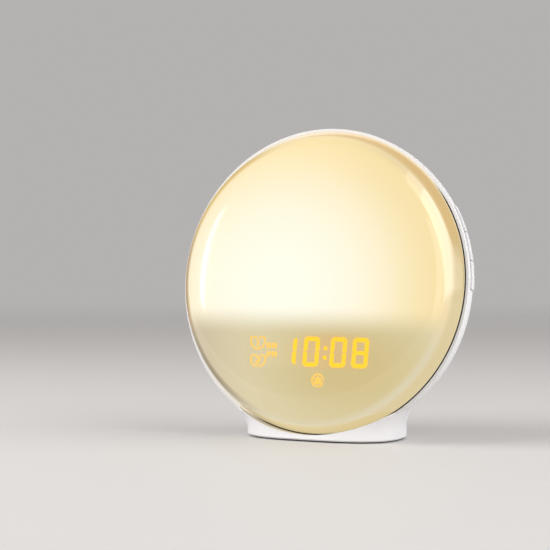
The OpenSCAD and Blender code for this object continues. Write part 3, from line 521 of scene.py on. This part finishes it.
def cover_skin(finish):
    """The lit opal skin: the lamp glow, a smooth gloss, and a window over the display."""
    made, tree, shader = new_material(
        "Opal cover", base=(0.03, 0.028, 0.02), roughness=finish.opal_roughness, ior=1.5, emission=1.0,
        coat_roughness=finish.cover_roughness, coat_ior=1.8,
    )
    glow = shared(tree, "Lamp glow")
    tree.links.new(glow["Colour"], shader.inputs["Emission Color"])
    shown = one_minus(tree, times(tree, glow["Window"], 1 - finish.window))
    tree.links.new(shown, shader.inputs["Alpha"])
    tree.links.new(glow["Gloss"], shader.inputs["Coat Weight"])
    return made


def cover_inside():
    """The cover's back: plain diffuser, clear over the display."""
    made, tree, shader = new_material("Cover inside", base=(0.9, 0.86, 0.7), roughness=0.6)
    tree.links.new(one_minus(tree, shared(tree, "Lamp glow")["Clear"]), shader.inputs["Alpha"])
    return made


def seal_rubber():
    """Black rubber with painted light from the lit cover along the top and the left, and painted shadow
    elsewhere.
    """
    made, tree, shader = new_material(
        "Seal rubber", base=(0.012, 0.011, 0.01), roughness=0.8, specular=0.1, emission=1.0
    )
    place = shared(tree, "Disc place")
    # Painted light from the cover at the top and the left, painted shadow round the rest
    tint = blend(tree, in_seat_shadow(tree, place["X"], place["Y"]), SEAL_PAINTED_LIGHT, SHADOW)
    tree.links.new(tint, shader.inputs["Emission Color"])
    return made


def display_face():
    """The display's face, with the lit cover's glow painted on it and a painted glow round its own digits.
    """
    halo_strength, seen_share, painted_room_reflection = 0.45, 0.92, 0.05
    made, tree, shader = new_material("Display face", base=(0.05, 0.045, 0.03), roughness=0.7, emission=1.0)
    place = shared(tree, "Disc place")
    away = distance_from(tree, place["X"], place["Y"], HALO_MIDDLE, HALO_REACH)
    halo = times(tree, smooth_step(tree, away, 1.15, 0.5), halo_strength)
    # Painted light: as bright as the cover beside it, with a little painted reflection of the room
    glow = {0: shared(tree, "Lamp glow")["Colour"], 1: (seen_share,) * 3, 2: (painted_room_reflection,) * 3}
    seen = put(tree, "ShaderNodeVectorMath", glow, operation="MULTIPLY_ADD")
    tree.links.new(blend(tree, halo, seen.outputs[0], DIGIT_HALO), shader.inputs["Emission Color"])
    return made


def lit_window(name, tint, strength):
    made, tree, shader = new_material(name, base=(0.1, 0.07, 0.01), roughness=0.5, emission=strength)
    tree.links.new(shaded(tree, tint)[0], shader.inputs["Emission Color"])
    return made


def printed_board(name, mask, track):
    """A circuit board: solder mask over faint square tracks."""
    made, tree, shader = new_material(name, roughness=0.3)
    pattern = {
        "Vector": put(tree, "ShaderNodeTexCoord").outputs["Object"], "Scale": 220.0, "Mortar Size": 0.06,
        "Color1": (*mask, 1), "Color2": (*mask, 1), "Mortar": (*track, 1),
    }
    tracks = put(tree, "ShaderNodeTexBrick", pattern)
    tree.links.new(tracks.outputs["Color"], shader.inputs["Base Color"])
    bumped(tree, shader, tracks.outputs["Fac"], 0.03 * MM)
    return made


def ringed_cone():
    """Speaker cone with fine pressed rings about the speaker's axis."""
    radians_per_mm = 4.2
    made, tree, shader = new_material("Speaker cone", base=(0.03, 0.03, 0.032), roughness=0.6)
    place = shared(tree, "Disc place")
    radius = length_of(tree, place["X"], math_node(tree, "SUBTRACT", place["Y"], SPEAKER_UP))
    wave = math_node(tree, "SINE", times(tree, radius, radians_per_mm))
    bumped(tree, shader, wave, 0.1 * MM)
    return made


def brushed(name, base, roughness):
    """Metal with fine drawn lines."""
    smoother, rougher = roughness - 0.06, roughness + 0.08
    made, tree, shader = new_material(name, base=base, metallic=1.0)
    place = put(tree, "ShaderNodeTexCoord").outputs["Object"]
    drawn = put(tree, "ShaderNodeMapping", {"Vector": place, "Scale": (400, 6000, 400)})
    lines = put(tree, "ShaderNodeTexNoise", {"Vector": drawn.outputs[0], "Scale": 1.0, "Detail": 2.0})
    spread = {"Value": lines.outputs[0], "To Min": smoother, "To Max": rougher}
    rough = put(tree, "ShaderNodeMapRange", spread)
    tree.links.new(rough.outputs[0], shader.inputs["Roughness"])
    return made


def dress(piece, material):
    piece.data.materials.clear()
    piece.data.materials.append(material)


def dress_nodes(names, material):
    for name in names:
        dress(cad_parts[name], material)


# ---------------------------------------------------------------------------
# Operators


class CLOCK_OT_shared_effects(bpy.types.Operator):
    """Build the node groups that several finishes use"""

    bl_idname = "clock.shared_effects"
    bl_label = "Shared effects"

    def execute(self, context):
        disc_place_group()
        fine_grain_group()
        lamp_glow_group(context.scene.clock_finish)
        return {"FINISHED"}


class CLOCK_OT_housing(bpy.types.Operator):
    """Mould the rear housing with its smooth blend into the foot"""

    bl_idname = "clock.housing"
    bl_label = "Rear housing"

    def execute(self, context):
        finish = context.scene.clock_finish
        shell = merged_copy("rear_housing", "housing_shell")
        smooth(shell, 38)
        dress(shell, grained("White moulding", finish.housing, finish.housing_roughness, depth=SATIN_DEPTH))
        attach(shell, "clock")
        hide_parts("rear_housing")
        return {"FINISHED"}


class CLOCK_OT_cover(bpy.types.Operator):
    """Turn the opal front cover as one closed shell"""

    bl_idname = "clock.cover"
    bl_label = "Front cover"

    # Steps along the side, the turn, the crown's outer part and its middle; every third one is kept
    SIDE_STEPS, TURN_STEPS, CROWN_STEPS, MIDDLE_STEPS, KEPT = 5, 60, 80, 20, 3
    EASE_FROM, EASE_ROUNDS = 14, 200
    INWARD = -0.1

    def skin_profile(self, sizes, inset):
        """Half profile from the seat to the axis, moved inwards by inset."""
        draft, turn = sizes.draft, sizes.turn_radius - inset
        crown = sizes.crown_radius - inset
        crown_z = sizes.rise - sizes.crown_radius
        edge = sizes.edge_radius - inset / math.cos(draft)
        # The turn's middle lies on a line parallel to the side, and crown - turn from the crown's middle
        k = edge - turn / math.cos(draft)
        t = math.tan(draft)
        b = crown_z + k * t
        c = k * k + crown_z ** 2 - (crown - turn) ** 2
        z = (b + math.sqrt(b * b - (1 + t * t) * c)) / (1 + t * t)
        centre = (k - z * t, z)
        leave = math.atan2(centre[1] - crown_z, centre[0])
        top_r, top_z = arc(centre, turn, draft, draft, 1)[0]
        shares = [i / self.SIDE_STEPS for i in range(self.SIDE_STEPS)]
        side = [(edge + (top_r - edge) * share, top_z * share) for share in shares]
        flat_from = math.acos(sizes.flat_radius / crown)
        bend = arc(centre, turn, draft, leave, self.TURN_STEPS)
        bend += arc((0, crown_z), crown, leave, flat_from, self.CROWN_STEPS)[1:]
        middle = arc((0, crown_z), crown, flat_from, math.pi / 2, self.MIDDLE_STEPS)[1:-1]
        return side + self.eased(bend)[::self.KEPT] + middle + [(0, crown_z + crown)]

    def eased(self, points):
        """Smooths a line of close points, so that its bend fades in; the first ones stay."""
        fixed = self.EASE_FROM
        for _ in range(self.EASE_ROUNDS):
            middles = [((a[0] + 2 * b[0] + c[0]) / 4, (a[1] + 2 * b[1] + c[1]) / 4)
                       for a, b, c in zip(points, points[1:], points[2:])]
            points = points[:fixed] + middles[fixed - 1:] + points[-1:]
        return points

    def execute(self, context):
        sizes, finish = context.scene.cover_sizes, context.scene.clock_finish
        outer = self.skin_profile(sizes, 0)
        inner = self.skin_profile(sizes, sizes.thickness)
        edge, back = sizes.edge_radius, inner[0][0]
        foot = [(back, -sizes.lap), (edge - sizes.lip, -sizes.lap), (edge, -sizes.lap + sizes.lip)]
        shell = turned("cover_shell", inner[::-1] + foot + outer, sizes.steps)
        smooth(shell, 30)
        shell.data.materials.append(cover_skin(finish))
        shell.data.materials.append(cover_inside())
        to_disc = DISC.inverted()
        turn = to_disc.to_3x3()
        for face in shell.data.polygons:
            middle, facing = (to_disc @ face.center).xy, turn @ face.normal
            inward = facing.z < self.INWARD or facing.xy.dot(middle) < self.INWARD * middle.length
            face.material_index = 1 if inward else 0
        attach(shell, "clock")
        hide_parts("front_cover")
        return {"FINISHED"}


class CLOCK_OT_seal(bpy.types.Operator):
    """Lay the black seal in the gap between the cover and the rim"""

    bl_idname = "clock.seal"
    bl_label = "Cover seal"

    def execute(self, context):
        low, high = -2.3 * MM, -0.12 * MM
        inner, outer = 83.27 * MM, 83.63 * MM
        profile = [(inner, low), (outer, low), (outer, high), (inner, high), (inner, low)]
        seal = turned("cover_seal", profile, context.scene.cover_sizes.steps)
        smooth(seal, 30)
        dress(seal, seal_rubber())
        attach(seal, "clock")
        return {"FINISHED"}


class CLOCK_OT_keys(bpy.types.Operator):
    """Mould the seven keys"""

    bl_idname = "clock.keys"
    bl_label = "Keys"

    def execute(self, context):
        finish = context.scene.clock_finish
        moulding = grained("Key moulding", finish.key, finish.housing_roughness, depth=SATIN_DEPTH)
        side_keys = [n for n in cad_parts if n.startswith(("key_left_", "key_right_"))]
        for node in sorted([*side_keys, "snooze_key"]):
            cap = merged_copy(node, node + "_cap")
            smooth(cap, 30)
            dress(cap, moulding)
            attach(cap, node)
            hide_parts(node)
        return {"FINISHED"}


class CLOCK_OT_digits(bpy.types.Operator):
    """Cut the digits' windows with rounded corners, one mesh for the whole time"""

    bl_idname = "clock.digits"
    bl_label = "Digits"

    # Strokes are numbered: top, upper right, lower right, bottom, lower left, upper left, middle.
    # A digit has its middle across the display and its lit strokes.
    ONE, ZERO, EIGHT = (1, 2), (0, 1, 2, 3, 4, 5), (0, 1, 2, 3, 4, 5, 6)
    DIGITS = ((-10.4, ONE), (3.05, ZERO), (18.85, ZERO), (31.5, EIGHT))
    COLON_X, COLON_STEP, COLON_DROP = 11.25, 2.5, 0.5
    DOT_STEPS, CORNER_STEPS = 24, 4
    # Shares of a stroke: the middle one's tip, shoulders and half height, and a lower corner's rise
    TIP, SHOULDER, HALF_HEIGHT, NOTCH = 0.62, 1.05, 0.44, 0.14
    # Shares of half a seam by which strokes keep clear: across their outer corners, at a mitre, at the side
    AT_CORNER, AT_MITRE, AT_SIDE = 0.4, 1.6, 1.5

    def stroke_outline(self, sizes, stroke):
        """Outline of one stroke about the digit's middle, before the slant."""
        w, h, r = sizes.width / 2, sizes.height / 2, sizes.corner
        b, t, g = sizes.upright, sizes.level, sizes.seam / 2
        if stroke == 6:
            tip, shoulder, half = w - b * self.TIP, w - b * self.SHOULDER, t * self.HALF_HEIGHT
            above = [(tip, 0), (shoulder, half), (-shoulder, half)]
            return above + [(-x, -y) for x, y in above]
        if stroke in (0, 3):
            right = arc((w - r, h - r), r, math.pi / 2, math.pi / 4, self.CORNER_STEPS)
            half = [(x - g, y + g * self.AT_CORNER) for x, y in right]
            half += [(w - b - g * self.AT_MITRE, h - t)]
            points = half + [(-x, y) for x, y in reversed(half)]
            return points if stroke == 0 else [(x, -y) for x, y in points]
        outer = arc((w - r, h - r), r, math.pi / 4, 0, self.CORNER_STEPS)
        points = [(x + g * self.AT_CORNER, y - g) for x, y in outer]
        points += [(w, g * self.AT_SIDE), (w - b / 2, g)]
        points += [(w - b, t * self.NOTCH + g), (w - b, h - t - g * self.AT_MITRE)]
        flip_x = -1 if stroke in (4, 5) else 1
        flip_y = -1 if stroke in (2, 4) else 1
        return [(x * flip_x, y * flip_y) for x, y in points]

    def plate(self, outline, middle, slant, low, high):
        """A flat window: an outline, filled and raised from low to high, in the disc's frame."""
        lean = math.tan(slant)
        points = [(middle[0] + x + y * lean, middle[1] + y, low) for x, y in outline]
        piece = drawn_line("window", points)
        make_active(piece)
        bpy.ops.object.mode_set(mode="EDIT")
        bpy.ops.mesh.select_all(action="SELECT")
        bpy.ops.mesh.edge_face_add()
        bpy.ops.mesh.extrude_region_move(TRANSFORM_OT_translate={"value": (0, 0, high - low)})
        bpy.ops.mesh.select_all(action="SELECT")
        bpy.ops.mesh.normals_make_consistent(inside=False)
        bpy.ops.object.mode_set(mode="OBJECT")
        return piece

    def execute(self, context):
        sizes, finish = context.scene.digit_sizes, context.scene.clock_finish
        to_disc = DISC.inverted()
        heights = [(to_disc @ v.co).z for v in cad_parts["segments_lit"].data.vertices]
        low, high = min(heights), max(heights)
        plates = []
        for middle, strokes in self.DIGITS:
            for stroke in strokes:
                outline = self.stroke_outline(sizes, stroke)
                plates.append(self.plate(outline, (middle * MM, -sizes.drop), sizes.slant, low, high))
        ring = arc((0, 0), sizes.dot, 0, math.tau, self.DOT_STEPS)[:-1]
        colon_y = -sizes.drop - self.COLON_DROP * MM
        for step in (-self.COLON_STEP * MM, self.COLON_STEP * MM):
            at = (self.COLON_X * MM + step * math.tan(sizes.slant), step + colon_y)
            plates.append(self.plate(ring, at, 0, low, high))
        deselect_all()
        for plate in plates:
            plate.select_set(True)
        bpy.context.view_layer.objects.active = plates[0]
        bpy.ops.object.join()
        digits = bpy.context.active_object
        digits.name = digits.data.name = "digit_windows"
        digits.matrix_world = DISC
        make_active(digits)
        bpy.ops.object.transform_apply(location=True, rotation=True, scale=True)
        dress(digits, lit_window("Lit segment", finish.segment, 1.0))
        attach(digits, "clock")
        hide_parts("segments_lit")
        return {"FINISHED"}


class CLOCK_OT_marks(bpy.types.Operator):
    """Thicken the marks' strokes a little, as their light spreads in the cover"""

    bl_idname = "clock.marks"
    bl_label = "Marks"

    SPREAD = 0.09 * MM

    def execute(self, context):
        finish = context.scene.clock_finish
        marks = merged_copy("display_marks", "mark_windows")
        make_active(marks)
        bpy.ops.object.mode_set(mode="EDIT")
        bpy.ops.mesh.select_all(action="SELECT")
        bpy.ops.transform.shrink_fatten(value=self.SPREAD, use_even_offset=True)
        bpy.ops.object.mode_set(mode="OBJECT")
        dress(marks, lit_window("Lit mark", finish.mark, 1.0))
        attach(marks, "clock")
        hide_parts("display_marks")
        return {"FINISHED"}


class CLOCK_OT_display(bpy.types.Operator):
    """Finish the display's body, its unlit windows and its cable"""

    bl_idname = "clock.display"
    bl_label = "Display"

    def execute(self, context):
        dress_nodes(["display_block", "segments_off"], display_face())
        dress_nodes(["display_ribbon"], grained("Flat cable", (0.80, 0.80, 0.76), 0.5, grain=1.2 * MM))
        return {"FINISHED"}


class CLOCK_OT_light_box(bpy.types.Operator):
    """Finish the reflector tray, its lamp board and its chips"""

    bl_idname = "clock.light_box"
    bl_label = "Light box"

    def execute(self, context):
        dress_nodes(["reflector_tray"], grained("Reflector", (0.92, 0.92, 0.90), 0.25))
        dress_nodes(["led_board"], printed_board("Lamp board", (0.88, 0.87, 0.82), (0.70, 0.69, 0.63)))
        dress_nodes(["led_chips"], lit_window("Lamp chip", (1.0, 0.82, 0.45), 3.0))
        return {"FINISHED"}


class CLOCK_OT_inner_parts(bpy.types.Operator):
    """Finish the boards, switches, speaker, inlet and backup cell"""

    bl_idname = "clock.inner_parts"
    bl_label = "Inner parts"

    def execute(self, context):
        green = printed_board("Green board", (0.03, 0.19, 0.08), (0.05, 0.28, 0.12))
        switch = grained("Switch case", (0.07, 0.07, 0.08), 0.4)
        foam = grained("Foam ring", (0.02, 0.02, 0.02), 0.95, grain=0.9 * MM, depth=0.2 * MM)
        plated = brushed("Plated contact", (0.80, 0.66, 0.36), 0.25)
        zinc = brushed("Zinc screw", (0.66, 0.66, 0.68), 0.32)
        dress_nodes(["main_board", "key_board_right", "key_board_left", "snooze_board"], green)
        dress_nodes(["board_parts"], grained("Component case", (0.05, 0.05, 0.055), 0.45))
        dress_nodes(["switches_right", "switches_left", "switches_snooze"], switch)
        dress_nodes(["speaker_gasket"], foam)
        dress_nodes(["speaker_frame"], grained("Pressed basket", (0.12, 0.12, 0.13), 0.35, metallic=1.0))
        dress_nodes(["speaker_magnet"], grained("Ferrite", (0.10, 0.10, 0.11), 0.6, metallic=0.4))
        dress_nodes(["speaker_cone"], ringed_cone())
        dress_nodes(["inlet_body"], grained("Inlet moulding", (0.03, 0.03, 0.03), 0.45))
        dress_nodes(["inlet_pin_contact", "cell_contacts"], plated)
        dress_nodes(["coin_cell"], brushed("Cell can", (0.75, 0.75, 0.76), 0.28))
        dress_nodes(["base_screws", "tray_screws", "board_screws"], zinc)
        return {"FINISHED"}


class CLOCK_OT_base(bpy.types.Operator):
    """Finish the base plate, the cell door and the rubber feet"""

    bl_idname = "clock.base"
    bl_label = "Base"

    def execute(self, context):
        plate = grained("Base moulding", (0.72, 0.715, 0.72), 0.55, grain=0.7 * MM, depth=0.05 * MM)
        dress_nodes(["base_plate", "cell_door"], plate)
        dress_nodes(["rubber_feet"], grained("Rubber foot", (0.05, 0.05, 0.052), 0.8, grain=0.8 * MM))
        return {"FINISHED"}


class CLOCK_OT_stage(bpy.types.Operator):
    """Set the pale floor, the soft lights and the camera"""

    bl_idname = "clock.stage"
    bl_label = "Stage"

    # Name, azimuth and elevation, distance, size, and the setting and its share that give the brightness
    SOFTBOXES = (
        ("key_softbox", -50, 38, 1.3, (0.9, 0.9), "key_light", 1.0),
        ("right_softbox", 90, 25, 1.1, (1.16, 1.3), "right_light", 0.55),
        ("right_top_softbox", 92, 33, 1.16, (1.2, 1.62), "right_light", 0.35),
        ("right_fill_softbox", 48, 15, 1.1, (0.45, 0.9), "right_fill", 1.0),
        ("streak_softbox", -40.2, 11.9, 1.2, (0.075, 0.27), "streak_light", 1.0),
    )
    FLOOR_RADIUS, FLOOR_GONE, FLOOR_FULL = 6.0, 3.0, 0.25
    # Y of a way out of the clock at which the room's front wall starts and is full
    FRONT_FROM, FRONT_FULL = 0.1, -0.7

    def softbox(self, name, azimuth, elevation, distance, size, brightness):
        """An area light towards the disc; azimuth from the front towards +X, in degrees."""
        a, e = math.radians(azimuth), math.radians(elevation)
        way = Vector((math.sin(a) * math.cos(e), -math.cos(a) * math.cos(e), math.sin(e)))
        lamp = bpy.data.lights.new(name, "AREA")
        lamp.shape = "RECTANGLE"
        lamp.size, lamp.size_y = size
        lamp.energy = brightness * math.pi * size[0] * size[1]
        light = bpy.data.objects.new(name, lamp)
        light.location = DISC_AT + way * distance
        light.rotation_euler = way.to_track_quat("Z", "Y").to_euler()
        # The key only shades; the others also make the streaks on the cover
        light.visible_glossy = name != "key_softbox"
        bpy.context.scene.collection.objects.link(light)

    def floor(self, studio):
        deselect_all()
        bpy.ops.mesh.primitive_circle_add(
            vertices=128, radius=self.FLOOR_RADIUS, fill_type="NGON", location=(0, 0, 0)
        )
        ground = bpy.context.active_object
        ground.name = ground.data.name = "floor"
        tint = tuple(studio.floor)
        made, tree, shader = new_material("Pale floor", base=tint, roughness=0.6, specular=0.2)
        place = put(tree, "ShaderNodeTexCoord").outputs["Object"]
        apart = put(tree, "ShaderNodeSeparateXYZ", {0: place})
        radius = length_of(tree, apart.outputs["X"], apart.outputs["Y"])
        tree.links.new(smooth_step(tree, radius, self.FLOOR_GONE, self.FLOOR_FULL), shader.inputs["Alpha"])
        dress(ground, made)

    def execute(self, context):
        studio = context.scene.studio
        world = bpy.data.worlds.new("Studio")
        context.scene.world = world
        world.use_nodes = True
        room = world.node_tree
        background = room.nodes["Background"]
        way = put(room, "ShaderNodeSeparateXYZ", {0: put(room, "ShaderNodeTexCoord").outputs["Generated"]})
        in_front = smooth_step(room, way.outputs["Y"], self.FRONT_FROM, self.FRONT_FULL)
        walls = blend(room, in_front, studio.backdrop, studio.front_wall)
        room.links.new(walls, background.inputs["Color"])
        background.inputs["Strength"].default_value = 1.0
        context.scene.view_settings.view_transform = "Standard"
        self.floor(studio)
        for name, azimuth, elevation, distance, size, setting, share in self.SOFTBOXES:
            self.softbox(name, azimuth, elevation, distance, size, getattr(studio, setting) * share)
        camera = bpy.data.cameras.new("camera")
        camera.sensor_width = 36
        camera.lens = studio.lens_mm
        camera.clip_start = 0.01
        eye = bpy.data.objects.new("camera", camera)
        eye.location = DISC_AT + Vector(studio.camera_from_disc)
        eye.rotation_euler = (math.pi / 2 + studio.camera_pitch, 0, studio.camera_yaw)
        context.scene.collection.objects.link(eye)
        context.scene.camera = eye
        return {"FINISHED"}


class CLOCK_PT_panel(bpy.types.Panel):
    """Lists the clock's pieces"""

    bl_idname = "CLOCK_PT_panel"
    bl_label = "Sunrise alarm clock"
    bl_space_type = "VIEW_3D"
    bl_region_type = "UI"
    bl_category = "Clock"

    def draw(self, context):
        for operator in OPERATORS:
            self.layout.operator(operator.bl_idname)
        for group in GROUPS:
            settings = getattr(context.scene, group)
            box = self.layout.box()
            for name in settings.__annotations__:
                box.prop(settings, name)


OPERATORS = (
    CLOCK_OT_shared_effects,
    CLOCK_OT_housing,
    CLOCK_OT_cover,
    CLOCK_OT_seal,
    CLOCK_OT_keys,
    CLOCK_OT_display,
    CLOCK_OT_digits,
    CLOCK_OT_marks,
    CLOCK_OT_light_box,
    CLOCK_OT_inner_parts,
    CLOCK_OT_base,
    CLOCK_OT_stage,
)
GROUPS = {"cover_sizes": CoverSizes, "digit_sizes": DigitSizes, "clock_finish": ClockFinish,
          "studio": StudioSettings}


def register():
    for group in GROUPS.values():
        bpy.utils.register_class(group)
    for name, group in GROUPS.items():
        setattr(bpy.types.Scene, name, bpy.props.PointerProperty(type=group))
    for operator in OPERATORS:
        bpy.utils.register_class(operator)
    bpy.utils.register_class(CLOCK_PT_panel)


def unregister():
    bpy.utils.unregister_class(CLOCK_PT_panel)
    for operator in reversed(OPERATORS):
        bpy.utils.unregister_class(operator)
    for name in GROUPS:
        delattr(bpy.types.Scene, name)
    for group in reversed(GROUPS.values()):
        bpy.utils.unregister_class(group)


def main():
    register()
    bpy.ops.clock.shared_effects()
    bpy.ops.clock.housing()
    bpy.ops.clock.cover()
    bpy.ops.clock.seal()
    bpy.ops.clock.keys()
    bpy.ops.clock.display()
    bpy.ops.clock.digits()
    bpy.ops.clock.marks()
    bpy.ops.clock.light_box()
    bpy.ops.clock.inner_parts()
    bpy.ops.clock.base()
    bpy.ops.clock.stage()


if __name__ == "__main__":
    main()
